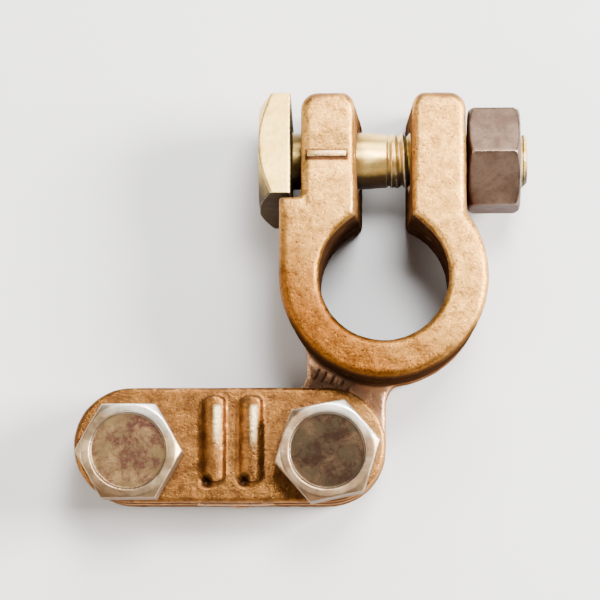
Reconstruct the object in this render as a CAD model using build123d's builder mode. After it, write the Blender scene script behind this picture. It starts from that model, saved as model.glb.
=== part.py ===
"""Battery terminal clamp: a cast brass ring that closes round a battery post, with a bolted cable strap.

Frame: the origin is the centre of the post bore, +Z runs up the post, +X runs along the
clamp bolt from its head to its nut, and +Y runs from the bore towards the split ears.
All sizes are in millimetres.
"""
import os
from math import cos, radians, sin, sqrt, tan

from build123d import *

os.makedirs("parts", exist_ok=True)

# Ring that grips the post
bore_radius = 8.95
ring_radius = 14.6
ring_height = 18.0
rim_round = 0.6
cast_draft = 2

# Split ears
slot_width = 6.0
left_ear_width = 8.5
right_ear_width = 8.5
ear_reach = 25.75
ear_corner_radius = 2.4
slot_mouth_radius = 1.0

# Clamp bolt and nut, M8 with a coarse thread
thread_radius = 4.0
thread_fit = 0.05
bolt_tip_chamfer = 0.8
ear_hole_clearance = 0.3
clamp_bolt_inset = 8.35
square_head_height = 4.5
square_head_turn = 10.9
square_head_gap = 1.45
square_head_clearance = 0.35
square_head_foot_gap = 0.28
nut_width = 13.9
nut_height = 7.35
nut_gap = 0.3
clamp_bolt_end = 1.0

# Cable bar, its strap and their bolts
bar_length = 43.7
bar_width = 16.2
bar_height = 6.2
bar_centre_x = -21.6
bar_centre_y = -22.85
strap_height = 4.0
strap_edge_bevel = 0.4
trough_width = 10.5
trough_corner_radius = 1.5
bar_trough_depth = 2.8
strap_trough_depth = 2.0
trough_offset = 0.5
rib_width = 3.2
rib_length = 12.0
rib_height = 1.1
rib_spacing = 5.2
rib_offset = 0.8
saddle_bolt_spacing = 27.5
saddle_bolt_offset = -1.2
saddle_bolt_length = 10.0
saddle_head_width = 13.0
saddle_head_height = 5.3
saddle_head_recess_radius = 5.3
saddle_head_recess_depth = 0.5
saddle_head_turns = (0.0, 11.7)
strap_hole_clearance = 0.5

# Neck between the ring and the bar
neck_left = -11.0
neck_ring_blend = 7.0
neck_bar_blend = 2.0
neck_end_blend = 3.7
neck_tuck = 0.5

# Shared places
bottom_z = -ring_height / 2
ring_foot_radius = ring_radius - ring_height * tan(radians(cast_draft))
neck_inner_radius = ring_foot_radius - neck_tuck
left_ear_face = -slot_width / 2 - left_ear_width
right_ear_face = slot_width / 2 + right_ear_width
bar_top_z = bottom_z + bar_height
strap_top_z = bar_top_z + strap_height
bar_right = bar_centre_x + bar_length / 2
bar_back = bar_centre_y + bar_width / 2
trough_x = bar_centre_x + trough_offset
rib_xs = (trough_x - rib_spacing / 2, trough_x + rib_spacing / 2)
saddle_bolt_xs = (bar_centre_x - saddle_bolt_spacing / 2, bar_centre_x + saddle_bolt_spacing / 2)
clamp_bolt_reach = ear_reach - clamp_bolt_inset
square_head_spread = cos(radians(square_head_turn)) + sin(radians(square_head_turn))
square_head_width = (ring_height - 2 * square_head_foot_gap) / square_head_spread
square_seat_width = square_head_width + 2 * square_head_clearance
saddle_bolt_y = bar_centre_y + saddle_bolt_offset
head_inner_x = left_ear_face - square_head_gap
nut_inner_x = right_ear_face + nut_gap
clamp_bolt_tip = nut_inner_x + nut_height + clamp_bolt_end
chamfer_angle = 30


def hexagon_corner(width):
    """Distance from a hexagon's centre to a corner, from its width across flats."""
    return width / sqrt(3)


def trim_corners(plane, corner_radius, face_radius, height, both_ends=False):
    """Cone off the corners of a bolt head or a nut that stands on a plane."""
    drop = (corner_radius - face_radius) * tan(radians(chamfer_angle))
    with BuildSketch(Plane(plane.origin, x_dir=plane.x_dir, z_dir=-plane.y_dir)) as blank:
        with BuildLine():
            Polyline((0, 0), (face_radius, 0), (corner_radius, drop), (corner_radius, height - drop),
                     (face_radius, height), (0, height), close=True)
        make_face()
        if not both_ends:
            with Locations((corner_radius / 2, height / 4)):
                Rectangle(corner_radius, height / 2)
    revolve(blank.sketch, axis=Axis(plane.origin, plane.z_dir), mode=Mode.INTERSECT)


def on_cast_rim(edge):
    """Whether an edge of the upper face lies on the outer rim of the ring or its shoulder."""
    box = edge.bounding_box()
    return box.min.X < left_ear_face - rim_round and box.min.Y < rim_round


# Outline of the cable bar, joined to a disc inside the ring's wall by a neck with hollow corners
with BuildSketch(Plane.XY.offset(bottom_z)) as bar_outline:
    Circle(neck_inner_radius)
    with Locations((bar_centre_x, bar_centre_y)):
        SlotOverall(bar_length, bar_width)
    with BuildLine():
        Polyline((neck_left, bar_centre_y), (bar_right, bar_centre_y),
                 (bar_right, 0), (neck_left, 0), close=True)
    make_face()
    ring_meets_neck = (neck_left, -sqrt(neck_inner_radius**2 - neck_left**2), bottom_z)
    neck_meets_bar = (neck_left, bar_back, bottom_z)
    bar_end_meets_ring = (bar_right, -sqrt(neck_inner_radius**2 - bar_right**2), bottom_z)
    for corner, blend in (
        (ring_meets_neck, neck_ring_blend),
        (neck_meets_bar, neck_bar_blend),
        (bar_end_meets_ring, neck_end_blend),
    ):
        fillet(bar_outline.vertices().sort_by_distance(corner)[0], blend)

# Casting: ring, ears, neck and cable bar in one piece
with BuildPart() as clamp_casting:
    # Ring and the shoulder beside the square head, whose walls lean out by the casting's draft
    with BuildSketch(Plane.XY.offset(bottom_z)):
        Circle(ring_foot_radius)
        with BuildLine():
            Polyline((-ring_foot_radius, 0), (0, 0), (0, clamp_bolt_reach),
                     (-ring_foot_radius, clamp_bolt_reach), close=True)
        make_face()
    extrude(amount=ring_height, taper=-cast_draft)

    # Block of the two ears, before the slot splits it
    with BuildSketch(Plane.XY.offset(bottom_z)):
        with BuildLine():
            Polyline((left_ear_face, 0), (right_ear_face, 0), (right_ear_face, ear_reach),
                     (left_ear_face, ear_reach), close=True)
        make_face()
    extrude(amount=ring_height)
    extrude(bar_outline.sketch, amount=bar_height)

    # Post bore and the slot that splits the ears
    with BuildSketch(Plane.XY.offset(bottom_z)):
        Circle(bore_radius)
        with Locations((0, ear_reach)):
            Rectangle(slot_width, 2 * ear_reach)
    extrude(amount=ring_height, mode=Mode.SUBTRACT)
    slot_mouth_y = sqrt(bore_radius**2 - slot_width**2 / 4)
    upright = clamp_casting.edges().filter_by(Axis.Z)
    fillet(upright.sort_by_distance((-slot_width / 2, slot_mouth_y, 0))[0], slot_mouth_radius)
    upright = clamp_casting.edges().filter_by(Axis.Z)
    fillet(upright.sort_by_distance((slot_width / 2, slot_mouth_y, 0))[0], slot_mouth_radius)
    upright = clamp_casting.edges().filter_by(Axis.Z)
    fillet(upright.filter_by_position(Axis.Y, ear_reach, ear_reach), ear_corner_radius)

    # Seat for the square head, whose lower side lies along the shoulder
    with BuildSketch(Plane.YZ.offset(left_ear_face)):
        with Locations((clamp_bolt_reach, 0)):
            Rectangle(square_seat_width, 2 * square_seat_width, rotation=-square_head_turn)
    extrude(amount=-2 * square_head_height, mode=Mode.SUBTRACT)

    # The ring's outer rim keeps its cast round, and every other rim has a bevel of the same size
    upper_rims = clamp_casting.faces().sort_by(Axis.Z)[-1].edges()
    chamfer(upper_rims.filter_by(on_cast_rim, reverse=True), rim_round)
    upper_rims = clamp_casting.faces().sort_by(Axis.Z)[-1].edges()
    fillet(upper_rims.filter_by(on_cast_rim), rim_round)
    chamfer(clamp_casting.faces().sort_by(Axis.Z)[0].edges(), rim_round)

    # Cross hole for the clamp bolt
    with Locations(Location(Plane(origin=(0, clamp_bolt_reach, 0), z_dir=(1, 0, 0)))):
        Cylinder(thread_radius + ear_hole_clearance, 4 * ring_radius, mode=Mode.SUBTRACT)

    # Trough that lets the cable lie across the bar
    with BuildSketch(Plane.XZ.offset(-bar_centre_y)) as trough_section:
        with Locations((trough_x, bar_top_z)):
            Rectangle(trough_width, 2 * bar_trough_depth)
        fillet(trough_section.vertices().group_by(Axis.Z)[0], trough_corner_radius)
    extrude(amount=bar_width, both=True, mode=Mode.SUBTRACT)

    # Threaded holes for the saddle bolts
    with Locations(*[(x, saddle_bolt_y, bar_top_z) for x in saddle_bolt_xs]):
        Hole(thread_radius + thread_fit, bar_height)

clamp_casting.part.label = "clamp_casting"
export_step(clamp_casting.part, "parts/clamp_casting.step")


# Half-round ribs with rounded ends
with BuildPart() as strap_ribs:
    with BuildSketch(Plane.XZ.offset(-bar_centre_y - rib_offset)):
        for x in rib_xs:
            with BuildLine():
                rib_base = Line((x - rib_width / 2, strap_top_z), (x + rib_width / 2, strap_top_z))
                ThreePointArc(rib_base @ 0, (x, strap_top_z + rib_height), rib_base @ 1)
            make_face()
    extrude(amount=rib_length / 2, both=True)
    with BuildSketch(Plane.XY.offset(strap_top_z)):
        with Locations(*[(x, bar_centre_y + rib_offset) for x in rib_xs]):
            SlotOverall(rib_length, rib_width, rotation=90)
    extrude(amount=rib_height, mode=Mode.INTERSECT)

# Cable strap, with two stiffening ribs above its trough
with BuildPart() as cable_strap:
    with BuildSketch(Plane.XY.offset(bar_top_z)):
        with Locations((bar_centre_x, bar_centre_y)):
            SlotOverall(bar_length, bar_width)
    extrude(amount=strap_height)
    chamfer(cable_strap.faces().sort_by(Axis.Z)[-1].edges(), strap_edge_bevel)
    add(strap_ribs.part)
    with BuildSketch(Plane.XZ.offset(-bar_centre_y)) as strap_trough_section:
        with Locations((trough_x, bar_top_z)):
            Rectangle(trough_width, 2 * strap_trough_depth)
        fillet(strap_trough_section.vertices().group_by(Axis.Z)[-1], trough_corner_radius)
    extrude(amount=bar_width, both=True, mode=Mode.SUBTRACT)
    with Locations(*[(x, saddle_bolt_y, strap_top_z) for x in saddle_bolt_xs]):
        Hole(thread_radius + strap_hole_clearance, strap_height)

cable_strap.part.label = "cable_strap"
export_step(cable_strap.part, "parts/cable_strap.step")


def saddle_bolt(seat, turn):
    """Hexagon bolt whose head, with a shallow round recess, stands on the seat plane."""
    with BuildPart() as bolt:
        with BuildSketch(seat):
            RegularPolygon(hexagon_corner(saddle_head_width), 6, rotation=turn)
        extrude(amount=saddle_head_height)
        trim_corners(seat, hexagon_corner(saddle_head_width), saddle_head_width / 2, saddle_head_height)
        with BuildSketch(seat.offset(saddle_head_height)):
            Circle(saddle_head_recess_radius)
        extrude(amount=-saddle_head_recess_depth, mode=Mode.SUBTRACT)
        with BuildSketch(seat):
            Circle(thread_radius)
        extrude(amount=-saddle_bolt_length)
        chamfer(bolt.faces().sort_by(Axis.Z)[0].edges(), bolt_tip_chamfer)
    return bolt


saddle_bolts = {}
for name, x, turn in zip(("saddle_bolt_left", "saddle_bolt_right"), saddle_bolt_xs, saddle_head_turns):
    seat = Plane((x, saddle_bolt_y, strap_top_z))
    saddle_bolts[name] = saddle_bolt(seat, turn)
    saddle_bolts[name].part.label = name
    export_step(saddle_bolts[name].part, f"parts/{name}.step")


# Clamp bolt: the square head faces -X and its shank crosses both ears
with BuildPart() as clamp_bolt:
    head_plane = Plane(origin=(head_inner_x, clamp_bolt_reach, 0), x_dir=(0, 1, 0), z_dir=(-1, 0, 0))
    with BuildSketch(head_plane):
        Rectangle(square_head_width, square_head_width, rotation=square_head_turn)
    extrude(amount=square_head_height)
    trim_corners(head_plane, square_head_width / sqrt(2), square_head_width / 2, square_head_height)
    with BuildSketch(head_plane):
        Circle(thread_radius)
    extrude(amount=-(clamp_bolt_tip - head_inner_x))
    chamfer(clamp_bolt.faces().sort_by(Axis.X)[-1].edges(), bolt_tip_chamfer)

clamp_bolt.part.label = "clamp_bolt"
export_step(clamp_bolt.part, "parts/clamp_bolt.step")


# Clamp nut: hexagon with one corner up, coned at both ends
with BuildPart() as clamp_nut:
    nut_plane = Plane(origin=(nut_inner_x, clamp_bolt_reach, 0), x_dir=(0, 0, 1), z_dir=(1, 0, 0))
    with BuildSketch(nut_plane):
        RegularPolygon(hexagon_corner(nut_width), 6)
    extrude(amount=nut_height)
    trim_corners(nut_plane, hexagon_corner(nut_width), nut_width / 2, nut_height, both_ends=True)
    with BuildSketch(nut_plane):
        Circle(thread_radius + thread_fit)
    extrude(amount=nut_height, mode=Mode.SUBTRACT)

clamp_nut.part.label = "clamp_nut"
export_step(clamp_nut.part, "parts/clamp_nut.step")
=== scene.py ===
"""Battery terminal clamp: the finish of its casting, strap, bolts and nut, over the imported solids.

Everything is in metres in the shared frame: the origin is the centre of the post bore, +Z runs up
the post, +X runs along the clamp bolt from its head to its nut, and +Y runs towards the ears.
"""
from math import atan2, cos, hypot, radians, sin, tau

import bpy
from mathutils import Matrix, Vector


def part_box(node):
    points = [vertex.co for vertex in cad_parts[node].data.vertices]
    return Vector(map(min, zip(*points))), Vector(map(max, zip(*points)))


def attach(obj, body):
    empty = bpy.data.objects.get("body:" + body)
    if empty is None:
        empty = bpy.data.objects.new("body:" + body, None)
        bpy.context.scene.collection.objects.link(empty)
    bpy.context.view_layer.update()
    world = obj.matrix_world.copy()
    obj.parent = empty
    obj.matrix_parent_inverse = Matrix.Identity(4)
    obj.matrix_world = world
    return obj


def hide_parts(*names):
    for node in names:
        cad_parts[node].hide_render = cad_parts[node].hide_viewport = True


MM = 0.001

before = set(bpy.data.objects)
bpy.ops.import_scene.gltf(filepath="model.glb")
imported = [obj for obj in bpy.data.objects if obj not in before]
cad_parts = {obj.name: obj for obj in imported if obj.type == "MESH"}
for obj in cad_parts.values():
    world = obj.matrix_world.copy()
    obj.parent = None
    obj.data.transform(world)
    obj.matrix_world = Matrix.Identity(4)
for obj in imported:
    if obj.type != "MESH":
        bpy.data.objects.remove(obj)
bpy.ops.object.select_all(action="DESELECT")
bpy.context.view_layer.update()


# ---------------------------------------------------------------- sizes and places of the solids

casting_low, casting_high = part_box("clamp_casting")
nut_low, nut_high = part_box("clamp_nut")
bolt_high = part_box("clamp_bolt")[1]

RING_RADIUS = 14.6 * MM
BORE_RADIUS = 8.95 * MM
SLOT_HALF = 3.0 * MM
EAR_WIDTH = 8.5 * MM
EAR_REACH = 25.75 * MM
EAR_CORNER = 2.4 * MM
SHOULDER_END = 9.5 * MM

BAR_TOP = casting_low.z + 6.2 * MM
STRAP_TOP = BAR_TOP + 4.0 * MM
RIB_MIDDLES = (-24.2 * MM, -19.1 * MM)

THREAD_PITCH = 1.25 * MM
THREAD_DEPTH = 0.6 * MM
BOLT_RADIUS = 4.0 * MM
HOLE_RADIUS = 4.05 * MM
NUT_AXIS = Vector((0, (nut_low.y + nut_high.y) / 2, 0))
SADDLE_BOLT_AXES = {
    "saddle_bolt_left": Vector((-35.35, -24.05, 0)) * MM,
    "saddle_bolt_right": Vector((-7.85, -24.05, 0)) * MM,
}

# Cast marks that only the skins have
MINUS_MIDDLE = Vector((-7.9, 17.0, 0)) * MM
MINUS_LENGTH = 5.5 * MM
RIB_END_PITS = ((-24.75 * MM, -27.9 * MM), (-19.5 * MM, -27.8 * MM))
NECK_RIDGES = (
    (-9.61, -12.52), (-8.63, -12.94), (-7.36, -13.23), (-6.09, -13.94), (-4.54, -14.23),
)
NECK_RIDGE_TURN = radians(-58)


# ---------------------------------------------------------------- modelling helpers

def shape_with(piece, kind, **settings):
    """Add a modifier with these settings and apply it."""
    modifier = piece.modifiers.new(kind.title(), kind)
    for setting, value in settings.items():
        setattr(modifier, setting, value)
    bpy.context.view_layer.objects.active = piece
    bpy.ops.object.modifier_apply(modifier=modifier.name)


def edit(piece):
    """Open a piece in edit mode with everything in it selected."""
    bpy.ops.object.select_all(action="DESELECT")
    piece.select_set(True)
    bpy.context.view_layer.objects.active = piece
    bpy.ops.object.mode_set(mode="EDIT")
    bpy.ops.mesh.select_all(action="SELECT")


def close_edit():
    bpy.ops.object.mode_set(mode="OBJECT")
    bpy.ops.object.select_all(action="DESELECT")


def copy_of_node(node, name):
    """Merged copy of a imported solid, as the start of the piece that replaces it."""
    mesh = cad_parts[node].data.copy()
    mesh.name = name
    mesh.materials.clear()
    piece = bpy.data.objects.new(name, mesh)
    bpy.context.scene.collection.objects.link(piece)
    edit(piece)
    bpy.ops.mesh.remove_doubles(threshold=0.002 * MM)
    close_edit()
    return piece


def soft_skin(piece, voxel, passes):
    """Turn a merged solid into an even mesh whose edges are soft."""
    shape_with(piece, "REMESH", mode="VOXEL", voxel_size=voxel, use_smooth_shade=True)
    shape_with(piece, "SMOOTH", factor=0.5, iterations=passes)


def soften_where(piece, weight_at, passes):
    """Smooth only the points for which weight_at(place) is above zero."""
    group = piece.vertex_groups.new(name="soft")
    for vertex in piece.data.vertices:
        weight = weight_at(vertex.co)
        if weight > 0:
            group.add([vertex.index], weight, "REPLACE")
    shape_with(piece, "SMOOTH", factor=0.5, iterations=passes, vertex_group="soft")
    piece.vertex_groups.clear()


def join(piece, extras):
    """Join finished details into a piece."""
    bpy.ops.object.select_all(action="DESELECT")
    for extra in extras:
        extra.select_set(True)
    piece.select_set(True)
    bpy.context.view_layer.objects.active = piece
    bpy.ops.object.join()
    bpy.ops.object.select_all(action="DESELECT")


def rough_cast(piece, name, size, depth):
    """Sink the surface unevenly by up to a depth, as sand leaves it."""
    texture = bpy.data.textures.new(name, "CLOUDS")
    texture.noise_scale = size
    texture.noise_depth = 2
    shape_with(piece, "DISPLACE", texture=texture, texture_coords="LOCAL",
               strength=depth, mid_level=1.0)


def raised_bar(name, middle, length, width, height, turn=0.0):
    """Closed bar with rounded edges that lies on a surface, for a cast mark."""
    bpy.ops.mesh.primitive_cube_add(size=1)
    bar = bpy.context.object
    bar.name = name
    edit(bar)
    bpy.ops.transform.resize(value=(length, width, height))
    bpy.ops.mesh.bevel(offset=0.3 * min(width, height), segments=3, profile=0.5)
    bpy.ops.transform.rotate(value=turn, orient_axis="Z", center_override=(0, 0, 0))
    bpy.ops.transform.translate(value=middle)
    close_edit()
    for face in bar.data.polygons:
        face.use_smooth = True
    return bar


def press(piece, places, radius, depth, above):
    """Sink soft round dents into the upper surface of a piece."""
    for vertex in piece.data.vertices:
        if vertex.co.z < above:
            continue
        for place in places:
            near = hypot(vertex.co.x - place[0], vertex.co.y - place[1]) / radius
            if near < 1:
                vertex.co.z -= depth * (1 - near * near) ** 2


def round_axis(vertex, axis, along):
    """Turn angle, distance from the axis and place along it of a point."""
    if along == "X":
        side, up, place = vertex.co.y - axis.y, vertex.co.z - axis.z, vertex.co.x
    else:
        side, up, place = vertex.co.x - axis.x, vertex.co.y - axis.y, vertex.co.z
    return atan2(up, side), hypot(side, up), place


def move_radially(vertex, axis, along, angle, distance):
    """Put a point at a distance from the axis, without changing its place along it."""
    if along == "X":
        vertex.co.y = axis.y + distance * cos(angle)
        vertex.co.z = axis.z + distance * sin(angle)
    else:
        vertex.co.x = axis.x + distance * cos(angle)
        vertex.co.y = axis.y + distance * sin(angle)


# Points this near to a shank's radius are taken as points of its wall
WALL_REACH = 0.3 * MM


def cut_thread(piece, axis, along, radius, start, end, inside=False):
    """Cut a screw thread into a shank, or into the wall of a hole."""
    for vertex in piece.data.vertices:
        angle, distance, place = round_axis(vertex, axis, along)
        if abs(distance - radius) > WALL_REACH or not start < place < end:
            continue
        phase = (place / THREAD_PITCH - angle / tau) % 1
        flank = min(1.0, max(0.0, 1.3 * (1 - abs(2 * phase - 1)) - 0.12))
        fade = min(1.0, (place - start) / THREAD_PITCH, (end - place) / (0.5 * THREAD_PITCH))
        depth = THREAD_DEPTH * flank * fade
        cut = distance + depth if inside else distance - depth
        move_radially(vertex, axis, along, angle, cut)


def turn_down(piece, axis, radius, steps):
    """Give a shank along X the radius of each step, as (place, radius), smoothly joined."""
    for vertex in piece.data.vertices:
        angle, distance, place = round_axis(vertex, axis, "X")
        if abs(distance - radius) > WALL_REACH or not steps[0][0] < place < steps[-1][0]:
            continue
        for (left, left_radius), (right, right_radius) in zip(steps, steps[1:]):
            if left <= place <= right:
                share = (place - left) / (right - left)
                share = share * share * (3 - 2 * share)
                target = left_radius + (right_radius - left_radius) * share
                move_radially(vertex, axis, "X", angle, distance - (radius - target))
                break


def dress(piece, node, body, material):
    """Give a finished piece its material and its body, and hide the solid that it stands for."""
    piece.data.materials.clear()
    piece.data.materials.append(material)
    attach(piece, body)
    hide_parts(node)


# ---------------------------------------------------------------- node helpers

class Nodes:
    """Short way to add and link the nodes of a material or a group."""

    def __init__(self, tree):
        self.tree = tree
        self.column = 0

    def add(self, kind, settings=None, **inputs):
        node = self.tree.nodes.new(kind)
        node.location = (self.column, 0)
        self.column += 200
        for setting, value in (settings or {}).items():
            setattr(node, setting, value)
        for name, value in inputs.items():
            self.set(node, name.replace("_", " "), value)
        return node

    def set(self, node, name, value):
        socket = node.inputs[name]
        if isinstance(value, bpy.types.NodeSocket):
            self.tree.links.new(value, socket)
        else:
            socket.default_value = value

    def mix(self, factor, first, second, blend="MIX"):
        node = self.add("ShaderNodeMix", {"data_type": "RGBA", "blend_type": blend})
        for index, value in ((0, factor), (6, first), (7, second)):
            self.set(node, index, value)
        return node.outputs[2]

    def math(self, operation, *values, clamp=False):
        node = self.add("ShaderNodeMath", {"operation": operation, "use_clamp": clamp})
        for index, value in enumerate(values):
            self.set(node, index, value)
        return node.outputs[0]

    def vector_math(self, operation, *values):
        node = self.add("ShaderNodeVectorMath", {"operation": operation})
        for index, value in enumerate(values):
            self.set(node, index, value)
        return node.outputs

    def product(self, first, *others):
        for other in others:
            first = self.math("MULTIPLY", first, other)
        return first

    def ramp(self, value, low, high, to_low=0.0, to_high=1.0):
        """Smooth step from one value to another, between two limits."""
        node = self.add("ShaderNodeMapRange", {"interpolation_type": "SMOOTHSTEP"}, Value=value)
        for name, number in (("From Min", low), ("From Max", high),
                             ("To Min", to_low), ("To Max", to_high)):
            self.set(node, name, number)
        return node.outputs[0]

    def within(self, value, limit, soft):
        """Share of one where a value is under a limit, fading over a soft edge."""
        return self.ramp(value, limit, limit + soft, 1.0, 0.0)

    def noise(self, vector, scale, detail=4.0, roughness=0.6, distortion=0.0):
        return self.add("ShaderNodeTexNoise", Vector=vector, Scale=scale, Detail=detail,
                        Roughness=roughness, Distortion=distortion).outputs["Fac"]

    def place(self):
        return self.add("ShaderNodeTexCoord").outputs["Object"]

    def coordinates(self):
        """X, Y and Z of a place on the object."""
        return self.add("ShaderNodeSeparateXYZ", Vector=self.place()).outputs

    def from_post_axis(self, at):
        """Distance of a place, given by its coordinates, from the axis of the post."""
        squares = self.math("ADD", self.product(at["X"], at["X"]), self.product(at["Y"], at["Y"]))
        return self.math("POWER", squares, 0.5)

    def cloudy(self, scale, width):
        """Noise round zero with a width, which breaks up the edge of a mark."""
        return self.product(self.math("SUBTRACT", self.noise(self.place(), scale), 0.5), width)

    def with_cloudy_edge(self, value, scale, width):
        return self.math("ADD", value, self.cloudy(scale, width))


def rgb(red, green, blue):
    """Colour from 0 to 255 display values, as linear light."""
    def linear(value):
        value /= 255
        return value / 12.92 if value <= 0.04045 else ((value + 0.055) / 1.055) ** 2.4
    return (linear(red), linear(green), linear(blue), 1.0)


def new_group(name, inputs, outputs):
    """Node group with named sockets. Inputs are (name, kind, default)."""
    tree = bpy.data.node_groups.new(name, "ShaderNodeTree")
    for socket_name, kind, default in inputs:
        socket = tree.interface.new_socket(name=socket_name, in_out="INPUT",
                                           socket_type="NodeSocket" + kind)
        socket.default_value = default
    for socket_name, kind in outputs:
        tree.interface.new_socket(name=socket_name, in_out="OUTPUT",
                                  socket_type="NodeSocket" + kind)
    nodes = Nodes(tree)
    return nodes, nodes.add("NodeGroupInput").outputs, nodes.add("NodeGroupOutput")


def close_group(nodes, out, **values):
    for name, value in values.items():
        nodes.set(out, name, value)
    return nodes.tree


def use_group(nodes, tree, **inputs):
    node = nodes.add("ShaderNodeGroup")
    node.node_tree = tree
    for name, value in inputs.items():
        nodes.set(node, name.replace("_", " "), value)
    return node.outputs


def new_material(name):
    material = bpy.data.materials.new(name)
    material.use_nodes = True
    tree = material.node_tree
    tree.nodes.clear()
    nodes = Nodes(tree)
    output = nodes.add("ShaderNodeOutputMaterial")
    shader = nodes.add("ShaderNodeBsdfPrincipled")
    tree.links.new(shader.outputs[0], output.inputs["Surface"])
    return material, nodes, shader


# ---------------------------------------------------------------- shared effects

def make_mottle():
    """Two colours in cloudy patches, with fine flecks of a third."""
    nodes, given, out = new_group(
        "mottle",
        [("Light Colour", "Color", rgb(220, 175, 125)),
         ("Dark Colour", "Color", rgb(150, 105, 65)),
         ("Fleck Colour", "Color", rgb(70, 45, 30)),
         ("Patch Scale", "Float", 300.0),
         ("Fleck Scale", "Float", 1500.0),
         ("Fleck Amount", "Float", 0.5)],
        [("Colour", "Color")],
    )
    place = nodes.place()
    patches = nodes.noise(place, given["Patch Scale"], detail=5.0, roughness=0.65, distortion=0.4)
    light_share = nodes.ramp(patches, 0.36, 0.64)
    colour = nodes.mix(light_share, given["Dark Colour"], given["Light Colour"])
    flecks = nodes.noise(place, given["Fleck Scale"], detail=3.0, roughness=0.7)
    fleck_share = nodes.product(nodes.ramp(flecks, 0.5, 0.68), given["Fleck Amount"])
    colour = nodes.mix(fleck_share, colour, given["Fleck Colour"])
    return close_group(nodes, out, Colour=colour)


def make_edge_wear_and_shade():
    """Rubbed edges get a brighter colour, and inner corners a dark one, as grime and painted shade.
    """
    nodes, given, out = new_group(
        "edge_wear_and_shade",
        [("Colour", "Color", rgb(200, 150, 100)),
         ("Worn Colour", "Color", rgb(250, 225, 180)),
         ("Grime Colour", "Color", rgb(60, 38, 25)),
         ("Wear", "Float", 0.7),
         ("Grime", "Float", 0.7),
         ("Reach", "Float", 1.2 * MM)],
        [("Colour", "Color")],
    )
    pointiness = nodes.add("ShaderNodeNewGeometry").outputs["Pointiness"]
    broken = nodes.noise(nodes.place(), 900.0, detail=3.0)
    brightened = nodes.product(nodes.ramp(pointiness, 0.516, 0.56), nodes.ramp(broken, 0.3, 0.6))
    wear = nodes.math("MULTIPLY", brightened, given["Wear"], clamp=True)
    # Ambient occlusion darkens inner corners: grime and painted shade
    shelter = nodes.add("ShaderNodeAmbientOcclusion", {"samples": 8}, Distance=given["Reach"])
    closed = nodes.math("SUBTRACT", 1.0, shelter.outputs["AO"])
    grime_and_shade = nodes.math("MULTIPLY", nodes.ramp(closed, 0.1, 0.75), given["Grime"], clamp=True)
    colour = nodes.mix(wear, given["Colour"], given["Worn Colour"])
    colour = nodes.mix(grime_and_shade, colour, given["Grime Colour"])
    return close_group(nodes, out, Colour=colour)


def make_side_shade():
    """Painted shade: surfaces that face away from one direction are darker than those that face it.
    """
    nodes, given, out = new_group(
        "side_shade",
        [("Colour", "Color", rgb(200, 150, 100)),
         ("Tarnish Colour", "Color", rgb(84, 54, 36)),
         ("Facing", "Vector", (0.0, 0.0, 1.0)),
         ("Amount", "Float", 0.9)],
        [("Colour", "Color"), ("Mask", "Float")],
    )
    normal = nodes.add("ShaderNodeTexCoord").outputs["Normal"]
    toward = nodes.vector_math("DOT_PRODUCT", normal, given["Facing"])["Value"]
    lit_share = nodes.ramp(nodes.with_cloudy_edge(toward, 500.0, 0.35), -0.05, 0.5)
    side = nodes.math("SUBTRACT", 1.0, lit_share)
    mask = nodes.math("MULTIPLY", side, given["Amount"], clamp=True)
    # Mix in the painted shade colour on the surfaces turned away
    colour = nodes.mix(mask, given["Colour"], given["Tarnish Colour"])
    return close_group(nodes, out, Colour=colour, Mask=mask)


# Painted shade on the lower side of each saddle head's rim, and a painted highlight on its upper
# side
RIM_PAINTED_SHADE = rgb(118, 88, 62)
RIM_PAINTED_HIGHLIGHT = rgb(255, 250, 236)
RIM_SHADED_SIDE = (-0.35, -0.94, 0)


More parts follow.
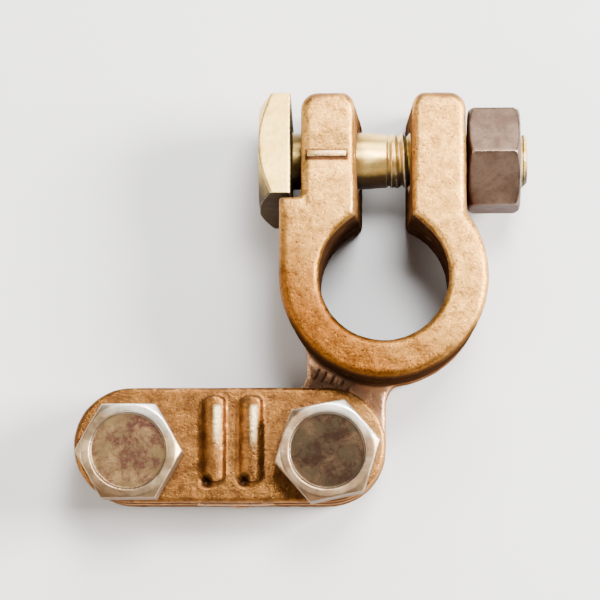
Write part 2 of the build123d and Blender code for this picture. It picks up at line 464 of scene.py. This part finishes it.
def make_head_patina_and_rim_light():
    """Patina blotches inside a bolt head's recess, with painted shade on the rim's lower-left side
    and a painted highlight on its upper-right side.
    """
    nodes, given, out = new_group(
        "head_patina_and_rim_light",
        [("Colour", "Color", rgb(215, 200, 170)),
         ("Centre", "Vector", (0.0, 0.0, 0.0)),
         ("Radius", "Float", 5.2 * MM),
         ("Light Blotch", "Color", rgb(190, 165, 125)),
         ("Dark Blotch", "Color", rgb(100, 72, 62)),
         ("Green Blotch", "Color", rgb(96, 90, 72)),
         ("Dark Share", "Float", 0.5)],
        [("Colour", "Color"), ("Mask", "Float")],
    )
    place = nodes.place()
    away = nodes.vector_math("SUBTRACT", place, given["Centre"])[0]
    flat = nodes.vector_math("MULTIPLY", away, (1, 1, 0))[0]
    distance = nodes.vector_math("LENGTH", flat)["Value"]
    height = nodes.add("ShaderNodeSeparateXYZ", Vector=away).outputs["Z"]
    ratio = nodes.math("DIVIDE", distance, given["Radius"])
    mask = nodes.product(nodes.ramp(ratio, 0.96, 1.03, 1.0, 0.0),
                         nodes.ramp(height, 0.0, 0.4 * MM))

    blotches = nodes.noise(place, 300.0, detail=7.0, roughness=0.78, distortion=0.3)
    darkness = nodes.math("ADD", blotches, nodes.math("SUBTRACT", given["Dark Share"], 0.5))
    dark_share = nodes.ramp(darkness, 0.38, 0.62)
    recess = nodes.mix(dark_share, given["Light Blotch"], given["Dark Blotch"])
    green_noise = nodes.noise(place, 420.0, detail=5.0, roughness=0.75)
    green = nodes.ramp(green_noise, 0.44, 0.62, 0.0, 0.8)
    recess = nodes.mix(green, recess, given["Green Blotch"])

    toward_shaded_side = nodes.vector_math("DOT_PRODUCT", flat, RIM_SHADED_SIDE)["Value"]
    shade = nodes.ramp(toward_shaded_side, 1.5 * MM, 6.8 * MM, 0.0, 0.8)
    rim = nodes.mix(shade, given["Colour"], RIM_PAINTED_SHADE)
    rim_highlight = nodes.product(nodes.ramp(toward_shaded_side, -6.4 * MM, -3.0 * MM, 0.75, 0.0),
                           nodes.ramp(height, 0.2 * MM, 1.0 * MM))
    rim = nodes.mix(rim_highlight, rim, RIM_PAINTED_HIGHLIGHT)
    return close_group(nodes, out, Colour=nodes.mix(mask, rim, recess), Mask=mask)


MOTTLE = make_mottle()
EDGE_WEAR_AND_SHADE = make_edge_wear_and_shade()
SIDE_SHADE = make_side_shade()
HEAD_PATINA_AND_RIM_LIGHT = make_head_patina_and_rim_light()


# ---------------------------------------------------------------- marks, painted shade and painted light on the casting and strap

# Painted shade on the ring's cable side, the ear ends, the bore and slot walls, the ring's foot and
# the minus mark's foot; painted light on the strap's right end and on the ribs; dirt and painted
# shade in the rib-end pits
CABLE_SIDE_SHADE = rgb(142, 114, 84)
EAR_END_SHADE = rgb(120, 82, 54)
NECK_BROWN = rgb(184, 140, 112)
INNER_WALL_SHADE = rgb(48, 28, 18)
UNDER_RING_SHADE = rgb(40, 24, 15)
MINUS_FOOT_SHADOW = rgb(70, 42, 24)
STRAP_END_PAINTED_LIGHT = rgb(200, 144, 80)
RIB_PAINTED_HIGHLIGHT = rgb(255, 228, 172)
PIT_DIRT_AND_SHADE = rgb(34, 19, 11)


def bore_and_slot_shade(nodes, side):
    """Painted shade, darker still, on the walls of the bore and of the slot."""
    at = nodes.coordinates()
    in_bore = nodes.within(nodes.from_post_axis(at), BORE_RADIUS + 0.35 * MM, 0.3 * MM)
    from_slot_middle = nodes.math("ABSOLUTE", at["X"])
    in_slot = nodes.product(nodes.within(from_slot_middle, SLOT_HALF + 0.3 * MM, 0.3 * MM),
                            nodes.math("GREATER_THAN", at["Y"], 0.0))
    return nodes.product(nodes.math("MAXIMUM", in_bore, in_slot), side)


def cable_side_shade(nodes):
    """Share of painted shade on the ring's top, which grows from the ears towards the cable side."""
    at = nodes.coordinates()
    along = nodes.math("ADD", nodes.product(at["X"], 0.6), nodes.product(at["Y"], 0.8))
    spread = nodes.ramp(nodes.with_cloudy_edge(along, 160.0, 12 * MM), -12 * MM, 7 * MM, 0.95, 0.0)
    return nodes.product(spread, nodes.math("GREATER_THAN", at["Z"], casting_high.z - 2.0 * MM))


def under_ring_shade(nodes):
    """Painted shade, nearly black, on the outer rim and wall of the ring on its cable side."""
    at = nodes.coordinates()
    outside = nodes.ramp(nodes.from_post_axis(at), RING_RADIUS - 0.9 * MM, RING_RADIUS - 0.3 * MM)
    cable_side = nodes.within(nodes.with_cloudy_edge(at["Y"], 260.0, 3 * MM), -8.0 * MM, 4.0 * MM)
    above_neck = nodes.ramp(at["Z"], BAR_TOP - 0.1 * MM, BAR_TOP + 0.5 * MM)
    return nodes.product(outside, cable_side, above_neck)


def minus_foot_shadow(nodes):
    """Painted shadow round the foot of the minus mark, heaviest on its lower side."""
    at = nodes.coordinates()
    from_middle = nodes.math("ABSOLUTE", nodes.math("SUBTRACT", at["X"], MINUS_MIDDLE.x))
    past_ends = nodes.math("SUBTRACT", from_middle, MINUS_LENGTH / 2)
    up = nodes.math("SUBTRACT", at["Y"], MINUS_MIDDLE.y)
    below = nodes.product(nodes.ramp(up, -1.15 * MM, -0.8 * MM), nodes.math("LESS_THAN", up, 0.0))
    above = nodes.product(nodes.within(up, 0.55 * MM, 0.25 * MM),
                          nodes.math("GREATER_THAN", up, 0.0), 0.6)
    in_hollow = nodes.product(nodes.math("LESS_THAN", at["Z"], casting_high.z - 0.1 * MM),
                              nodes.math("GREATER_THAN", at["Z"], casting_high.z - 1.0 * MM))
    near = nodes.product(nodes.within(past_ends, 0.1 * MM, 0.3 * MM), in_hollow)
    return nodes.math("MULTIPLY", nodes.math("ADD", below, above), near, clamp=True)


def ear_end_shade(nodes):
    """Painted shade in a band at the far ends of both ears, with a cloudy edge."""
    along = nodes.with_cloudy_edge(nodes.coordinates()["Y"], 420.0, 4 * MM)
    return nodes.ramp(along, EAR_REACH - 1.75 * MM, EAR_REACH - 0.35 * MM, 0.0, 0.75)


def neck_and_bar(nodes, side):
    """Upper faces of the neck and the bar, which are browner than the ring."""
    low = nodes.within(nodes.coordinates()["Z"], BAR_TOP + 1.0 * MM, 1.0 * MM)
    return nodes.product(low, 0.8, nodes.math("SUBTRACT", 1.0, side))


def casting_marks_and_shade(nodes, colour, side):
    """Painted shade on places of the casting, the browner neck and bar, and the mask of sides that
    are painted dull and dark.
    """
    under = under_ring_shade(nodes)
    colour = nodes.mix(cable_side_shade(nodes), colour, CABLE_SIDE_SHADE, "MULTIPLY")
    colour = nodes.mix(ear_end_shade(nodes), colour, EAR_END_SHADE)
    colour = nodes.mix(neck_and_bar(nodes, side), colour, NECK_BROWN)
    colour = nodes.mix(bore_and_slot_shade(nodes, side), colour, INNER_WALL_SHADE)
    colour = nodes.mix(nodes.product(under, 0.9), colour, UNDER_RING_SHADE)
    colour = nodes.mix(minus_foot_shadow(nodes), colour, MINUS_FOOT_SHADOW)
    return colour, nodes.math("MAXIMUM", side, under)


def strap_marks_and_light(nodes, colour, side):
    """Painted highlights on the ribs' right flanks, dirt and painted shade in pits at their feet,
    and painted light on the strap's right end.
    """
    at = nodes.coordinates()
    # Painted light on the strap's right end
    right_end_light = nodes.ramp(at["X"], -5.0 * MM, -1.5 * MM, 0.0, 0.45)
    colour = nodes.mix(right_end_light, colour, STRAP_END_PAINTED_LIGHT)

    # Painted highlight on the upper right flank of each rib
    upper = nodes.ramp(nodes.with_cloudy_edge(at["Y"], 900.0, 5 * MM), -24.0 * MM, -19.0 * MM)
    upper = nodes.product(upper, nodes.within(at["Y"], -18.0 * MM, 0.9 * MM))
    on_top = nodes.math("GREATER_THAN", at["Z"], STRAP_TOP - 0.2 * MM)
    for middle in RIB_MIDDLES:
        from_flank = nodes.math("ABSOLUTE", nodes.math("SUBTRACT", at["X"], middle + 0.9 * MM))
        brightened = nodes.product(nodes.within(from_flank, 0.1 * MM, 0.6 * MM), upper, on_top)
        colour = nodes.mix(brightened, colour, RIB_PAINTED_HIGHLIGHT)

    # Dirt and painted shade in the pits at the ribs' feet
    flat = nodes.add("ShaderNodeCombineXYZ", X=at["X"], Y=at["Y"]).outputs[0]
    for x, y in RIB_END_PITS:
        away = nodes.vector_math("DISTANCE", flat, (x, y, 0))["Value"]
        pit = nodes.product(nodes.within(away, 0.2 * MM, 0.95 * MM), 0.95)
        colour = nodes.mix(pit, colour, PIT_DIRT_AND_SHADE)
    return colour, side


# ---------------------------------------------------------------- finishes

def set_grain(nodes, shader, height, strength, distance):
    """Fine bumps on a surface, from a noise."""
    bump = nodes.add("ShaderNodeBump", Height=height, Strength=strength, Distance=distance)
    nodes.set(shader, "Normal", bump.outputs["Normal"])


def cast_brass(name, light, dark, side_shade_colour, worn, own_marks_and_light):
    """Sand-cast brass: fine grain and rubbed edges, with painted shade that darkens and dulls the
    sides, and grime and painted shade in its corners.
    """
    material, nodes, shader = new_material(name)
    mottle = use_group(nodes, MOTTLE, Light_Colour=light, Dark_Colour=dark,
                       Fleck_Colour=rgb(104, 66, 38), Patch_Scale=560.0,
                       Fleck_Scale=2500.0, Fleck_Amount=0.62)
    sides = use_group(nodes, SIDE_SHADE, Colour=mottle["Colour"], Tarnish_Colour=side_shade_colour,
                      Amount=0.93)
    edges = use_group(nodes, EDGE_WEAR_AND_SHADE, Colour=sides["Colour"], Worn_Colour=worn,
                      Grime_Colour=rgb(98, 62, 42), Wear=0.55, Grime=0.6, Reach=2.5 * MM)
    # The part's own marks, painted shade and painted light among them, and the mask of painted-shade
    # sides
    colour, shade_mask = own_marks_and_light(nodes, edges["Colour"], sides["Mask"])
    nodes.set(shader, "Base Color", colour)
    nodes.set(shader, "Metallic", nodes.ramp(shade_mask, 0.0, 1.0, 0.85, 0.0))
    shader.inputs["Specular IOR Level"].default_value = 0.0
    grain = nodes.noise(nodes.place(), 2600.0, detail=4.0, roughness=0.7)
    nodes.set(shader, "Roughness", nodes.math("ADD", nodes.ramp(grain, 0.3, 0.7, 0.25, 0.38),
                                              nodes.product(shade_mask, 0.5)))
    set_grain(nodes, shader, grain, strength=0.4, distance=0.2 * MM)
    return material


def plated(name, light, dark, fleck, worn, grime_and_shade, facing=(0, 0, 1), side_shade=0.8,
           reach=2 * MM, wear=0.55, patina_and_rim_light=None):
    """Zinc plate with faint clouds and rubbed edges, grime and painted shade in its corners, and
    painted shade on faces turned from a facing direction.
    """
    material, nodes, shader = new_material(name)
    mottle = use_group(nodes, MOTTLE, Light_Colour=light, Dark_Colour=dark, Fleck_Colour=fleck,
                       Patch_Scale=240.0, Fleck_Scale=1500.0, Fleck_Amount=0.3)
    sides = use_group(nodes, SIDE_SHADE, Colour=mottle["Colour"], Tarnish_Colour=grime_and_shade,
                      Facing=facing, Amount=side_shade)
    edges = use_group(nodes, EDGE_WEAR_AND_SHADE, Colour=sides["Colour"], Worn_Colour=worn,
                      Grime_Colour=grime_and_shade, Wear=wear, Grime=0.85, Reach=reach)
    colour = edges["Colour"]
    haze = nodes.noise(nodes.place(), 500.0, detail=3.0)
    rough = nodes.math("ADD", nodes.ramp(haze, 0.3, 0.7, 0.28, 0.42),
                       nodes.product(sides["Mask"], 0.25))
    if patina_and_rim_light:
        stained = use_group(nodes, HEAD_PATINA_AND_RIM_LIGHT, Colour=colour, **patina_and_rim_light)
        colour = stained["Colour"]
        rough = nodes.math("ADD", rough, nodes.product(stained["Mask"], 0.12))
    nodes.set(shader, "Base Color", colour)
    nodes.set(shader, "Metallic", nodes.ramp(sides["Mask"], 0.0, 1.0, 0.9, 0.1))
    shader.inputs["Specular IOR Level"].default_value = 0.15
    nodes.set(shader, "Roughness", rough)
    grain = nodes.noise(nodes.place(), 1800.0, detail=3.0)
    set_grain(nodes, shader, grain, strength=0.12, distance=0.1 * MM)
    return material


def stains_on(node, light, dark, green, dark_share):
    """Values of the patina and rim light group for the head of one saddle bolt."""
    below_recess = STRAP_TOP + 4.0 * MM
    return {"Centre": (*SADDLE_BOLT_AXES[node].xy, below_recess), "Light_Blotch": light,
            "Dark_Blotch": dark, "Green_Blotch": green, "Dark_Share": dark_share}


CASTING_BRASS = cast_brass(
    "casting_brass", light=rgb(228, 169, 85), dark=rgb(190, 135, 64), side_shade_colour=rgb(88, 54, 34),
    worn=rgb(250, 218, 164), own_marks_and_light=casting_marks_and_shade)
STRAP_BRASS = cast_brass(
    "strap_brass", light=rgb(146, 97, 46), dark=rgb(103, 65, 31), side_shade_colour=rgb(84, 52, 32),
    worn=rgb(204, 154, 96), own_marks_and_light=strap_marks_and_light)
# Its facing and long reach give painted shade to the square head's lower face, the shank's underside
# and the gap between the ears
YELLOW_ZINC = plated(
    "yellow_zinc_steel", light=rgb(255, 216, 124), dark=rgb(238, 190, 100),
    fleck=rgb(170, 122, 66), worn=rgb(255, 246, 220), grime_and_shade=rgb(44, 30, 20),
    facing=(0, 0.7, 0.72), side_shade=0.96, reach=4 * MM)
# Full wear with a near-white worn colour on the nut's rounded corners: wear, and partly a painted
# highlight along them
DARK_ZINC = plated(
    "dark_zinc_steel", light=rgb(122, 102, 88), dark=rgb(98, 78, 66), fleck=rgb(72, 52, 42),
    worn=rgb(250, 238, 220), grime_and_shade=rgb(72, 44, 30), side_shade=0.92, wear=1.0)
LEFT_ZINC = plated(
    "left_head_zinc", light=rgb(200, 172, 132), dark=rgb(158, 128, 92), fleck=rgb(100, 72, 50),
    worn=rgb(252, 246, 234), grime_and_shade=rgb(46, 30, 22),
    patina_and_rim_light=stains_on("saddle_bolt_left", light=rgb(146, 116, 76), dark=rgb(80, 50, 42),
                     green=rgb(112, 92, 60), dark_share=0.53))
RIGHT_ZINC = plated(
    "right_head_zinc", light=rgb(204, 178, 142), dark=rgb(154, 124, 92), fleck=rgb(92, 66, 48),
    worn=rgb(252, 247, 238), grime_and_shade=rgb(42, 28, 20),
    patina_and_rim_light=stains_on("saddle_bolt_right", light=rgb(84, 64, 46), dark=rgb(46, 31, 23),
                     green=rgb(60, 51, 36), dark_share=0.54))


# ---------------------------------------------------------------- casting

OUTER_ROLL = 1.3 * MM
INNER_ROLL = 0.8 * MM
HOLLOW_DEPTH = 0.24 * MM
HOLLOW_REACH = 3.6 * MM


def minus_hollow(place):
    """How far the ear's top dips round the minus mark."""
    beyond = max(0.0, abs(place.x - MINUS_MIDDLE.x) - MINUS_LENGTH / 2)
    near = hypot(beyond, place.y - MINUS_MIDDLE.y) / HOLLOW_REACH
    return HOLLOW_DEPTH * (1 - near * near) ** 2 if near < 1 else 0.0


def inside_outer_rim(x, y):
    """Distance from a point of the casting's upper face to the rim of ring, shoulder and ears."""
    distance = RING_RADIUS - hypot(x, y)
    if y > 0:
        across = abs(abs(x) - (SLOT_HALF + EAR_WIDTH / 2)) - (EAR_WIDTH / 2 - EAR_CORNER)
        along = y - (EAR_REACH - EAR_CORNER)
        ear = EAR_CORNER - hypot(max(across, 0), max(along, 0)) - min(max(across, along), 0)
        whole = SLOT_HALF + EAR_WIDTH - abs(x)
        distance = max(distance, ear if y > SHOULDER_END else whole)
        if x < 0 and y < SHOULDER_END:
            distance = max(distance, x + RING_RADIUS)
    return distance


def inside_inner_rim(x, y):
    """Distance from a point of the casting's upper face to the bore, or to the slot."""
    distance = hypot(x, y) - BORE_RADIUS
    return min(distance, abs(x) - SLOT_HALF) if y > 0 else distance


def round_rim(piece, distance_at, radius, wanted=lambda x, y: True):
    """Roll the upper rim of the casting over to a radius, where wanted(x, y) is true."""
    step = 0.05 * MM
    for vertex in piece.data.vertices:
        x, y, z = vertex.co
        drop = casting_high.z - z
        if drop > radius or not wanted(x, y):
            continue
        distance = distance_at(x, y)
        reach = hypot(radius - distance, radius - drop)
        if distance > radius or reach <= radius:
            continue
        shrink = radius / reach
        slope_x = (distance_at(x + step, y) - distance_at(x - step, y)) / (2 * step)
        slope_y = (distance_at(x, y + step) - distance_at(x, y - step)) / (2 * step)
        inward = (radius - distance) * (1 - shrink)
        vertex.co.x += slope_x * inward
        vertex.co.y += slope_y * inward
        vertex.co.z = casting_high.z - radius + (radius - drop) * shrink


def lean_slot_walls(piece, top_gain, reach):
    """Widen the slot towards its top, as the pattern's draft leaves it, by squeezing the ears."""
    for vertex in piece.data.vertices:
        beyond = abs(vertex.co.x) - (SLOT_HALF - 0.1 * MM)
        into_slot = min(1.0, max(0.0, (vertex.co.y - 6.5 * MM) / (2.5 * MM)))
        if into_slot > 0 and 0 < beyond < reach:
            level = (vertex.co.z - casting_low.z) / (casting_high.z - casting_low.z)
            shift = top_gain * level * into_slot * (1 - beyond / reach)
            vertex.co.x += shift if vertex.co.x > 0 else -shift


def clear_of_square_head(x, y):
    """Whether a point is away from the corner where the square head meets its shoulder."""
    return not (x < -11 * MM and y > 9 * MM)


def neck_root(place):
    """Weight of the smoothing where the ring's foot runs into the neck."""
    ring_side = abs(hypot(place.x, place.y) - (RING_RADIUS - 0.2 * MM)) / (1.6 * MM)
    level = abs(place.z - BAR_TOP) / (1.4 * MM)
    return max(0.0, 1 - ring_side) * max(0.0, 1 - level) if place.y < 0 else 0.0


def make_casting():
    casting = copy_of_node("clamp_casting", "casting_skin")
    soft_skin(casting, voxel=0.3 * MM, passes=7)
    soften_where(casting, neck_root, passes=40)
    round_rim(casting, inside_outer_rim, OUTER_ROLL, clear_of_square_head)
    round_rim(casting, inside_inner_rim, INNER_ROLL)
    lean_slot_walls(casting, top_gain=1.0 * MM, reach=4.0 * MM)
    shape_with(casting, "SMOOTH", factor=0.5, iterations=3)
    rough_cast(casting, "casting_sand", size=1.6 * MM, depth=0.10 * MM)

    # The ear dips round the minus mark, so that the mark stays below the casting's upper face
    top = casting_high.z
    for vertex in casting.data.vertices:
        if vertex.co.z > top - 1.0 * MM and vertex.co.x < -SLOT_HALF:
            vertex.co.z -= minus_hollow(vertex.co)

    # Minus sign of the small battery post, short ridges on the neck, and the stub of a gate
    marks = [raised_bar("minus_mark", (MINUS_MIDDLE.x, MINUS_MIDDLE.y, top - 0.42 * MM),
                        length=MINUS_LENGTH, width=1.0 * MM, height=0.8 * MM)]
    for x, y in NECK_RIDGES:
        marks.append(raised_bar("neck_ridge", (x * MM, y * MM, BAR_TOP - 0.02 * MM),
                                length=1.7 * MM, width=0.38 * MM, height=0.6 * MM,
                                turn=NECK_RIDGE_TURN))
    marks.append(raised_bar("gate_nub", (-20.4 * MM, -30.75 * MM, casting_low.z + 1.0 * MM),
                            length=2.2 * MM, width=0.7 * MM, height=1.1 * MM))
    join(casting, marks)
    dress(casting, "clamp_casting", "casting", CASTING_BRASS)


make_casting()


# ---------------------------------------------------------------- cable strap

def widen_ribs(piece, gain, half_width, reach):
    """Spread both ribs by a gain, and squeeze the face beside them up to a reach."""
    for vertex in piece.data.vertices:
        if vertex.co.z < STRAP_TOP - 0.4 * MM:
            continue
        for middle in RIB_MIDDLES:
            away = vertex.co.x - middle
            distance = abs(away)
            if distance < half_width:
                spread = distance * gain
            elif distance < reach:
                slope = (reach - half_width * gain) / (reach - half_width)
                spread = reach - (reach - distance) * slope
            else:
                continue
            vertex.co.x = middle + (spread if away > 0 else -spread)


def make_strap():
    strap = copy_of_node("cable_strap", "strap_skin")
    soft_skin(strap, voxel=0.2 * MM, passes=9)
    widen_ribs(strap, gain=1.22, half_width=1.3 * MM, reach=2.45 * MM)
    press(strap, RIB_END_PITS, radius=1.25 * MM, depth=0.7 * MM, above=STRAP_TOP - 0.6 * MM)
    rough_cast(strap, "strap_sand", size=1.4 * MM, depth=0.08 * MM)
    dress(strap, "cable_strap", "strap", STRAP_BRASS)


make_strap()


# ---------------------------------------------------------------- clamp bolt and nut

# Runout groove and collar between the smooth shank and the thread, as (place along X, radius)
CLAMP_BOLT_STEPS = (
    (-3.0 * MM, BOLT_RADIUS), (0.4 * MM, 3.78 * MM), (0.75 * MM, 3.5 * MM),
    (1.1 * MM, 3.82 * MM), (1.9 * MM, 3.85 * MM), (2.6 * MM, BOLT_RADIUS),
)


def make_clamp_bolt():
    bolt = copy_of_node("clamp_bolt", "clamp_bolt_skin")
    soft_skin(bolt, voxel=0.15 * MM, passes=3)
    turn_down(bolt, NUT_AXIS, BOLT_RADIUS, CLAMP_BOLT_STEPS)
    cut_thread(bolt, NUT_AXIS, "X", BOLT_RADIUS, 1.2 * MM, bolt_high.x - 0.3 * MM)
    dress(bolt, "clamp_bolt", "bolt", YELLOW_ZINC)


def make_clamp_nut():
    nut = copy_of_node("clamp_nut", "clamp_nut_skin")
    soft_skin(nut, voxel=0.14 * MM, passes=18)
    cut_thread(nut, NUT_AXIS, "X", HOLE_RADIUS, nut_low.x + 0.3 * MM, nut_high.x - 0.3 * MM,
               inside=True)
    dress(nut, "clamp_nut", "nut", DARK_ZINC)


make_clamp_bolt()
make_clamp_nut()


# ---------------------------------------------------------------- saddle bolts

def make_saddle_bolt(node, body, material):
    shank_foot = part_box(node)[0].z
    bolt = copy_of_node(node, node + "_skin")
    soft_skin(bolt, voxel=0.14 * MM, passes=3)
    cut_thread(bolt, SADDLE_BOLT_AXES[node], "Z", BOLT_RADIUS, shank_foot + 0.3 * MM,
               STRAP_TOP - 0.6 * MM)
    dress(bolt, node, body, material)


make_saddle_bolt("saddle_bolt_left", "left_bolt", LEFT_ZINC)
make_saddle_bolt("saddle_bolt_right", "right_bolt", RIGHT_ZINC)


# ---------------------------------------------------------------- floor, light and camera

FLOOR_SIZE = 3.0
FLOOR_GREY = (0.86, 0.86, 0.86, 1)
WHITE = (1, 1, 1)
WORLD_LIGHT = 0.09

# Name, place, size, power and colour of each softbox
SOFTBOXES = (
    ("key_light", (0.08, 0.18, 0.42), 0.15, 3.5, WHITE),
    ("back_light", (0.04, 0.45, 0.30), 0.24, 2.2, (1.0, 0.98, 0.94)),
    ("right_light", (0.42, 0.06, 0.28), 0.20, 10.0, (1.0, 0.97, 0.92)),
    ("left_light", (-0.36, -0.10, 0.30), 0.24, 1.4, (1.0, 0.92, 0.84)),
    ("front_light", (-0.06, -0.42, 0.24), 0.30, 0.6, (1.0, 0.88, 0.76)),
)

CAMERA_PLACE = (0.000702, -0.060440, 0.441547)
CAMERA_TURN = (0.130774, 0.028182, 0.000971)
CAMERA_LENS = 190.17


def make_floor():
    bpy.ops.mesh.primitive_plane_add(size=FLOOR_SIZE, location=(0, 0, casting_low.z))
    floor = bpy.context.object
    floor.name = "floor"
    material, nodes, shader = new_material("pale_floor")
    shader.inputs["Base Color"].default_value = FLOOR_GREY
    shader.inputs["Roughness"].default_value = 0.9
    shader.inputs["Specular IOR Level"].default_value = 0.1
    floor.data.materials.append(material)


def softbox(name, place, size, power, colour):
    """Square area light that looks at the object."""
    light = bpy.data.lights.new(name, "AREA")
    light.shape = "SQUARE"
    light.size = size
    light.energy = power
    light.color = colour
    lamp = bpy.data.objects.new(name, light)
    lamp.location = place
    lamp.rotation_euler = (-Vector(place)).to_track_quat("-Z", "Y").to_euler()
    bpy.context.scene.collection.objects.link(lamp)


make_floor()
for box in SOFTBOXES:
    softbox(*box)

world = bpy.data.worlds.new("studio")
world.use_nodes = True
background = world.node_tree.nodes["Background"]
background.inputs["Color"].default_value = (*WHITE, 1)
background.inputs["Strength"].default_value = WORLD_LIGHT
bpy.context.scene.world = world

camera_data = bpy.data.cameras.new("camera")
camera_data.lens = CAMERA_LENS
camera_data.sensor_width = 36.0
camera_data.clip_start = 0.01
camera = bpy.data.objects.new("camera", camera_data)
camera.location = CAMERA_PLACE
camera.rotation_euler = CAMERA_TURN
bpy.context.scene.collection.objects.link(camera)
bpy.context.scene.camera = camera
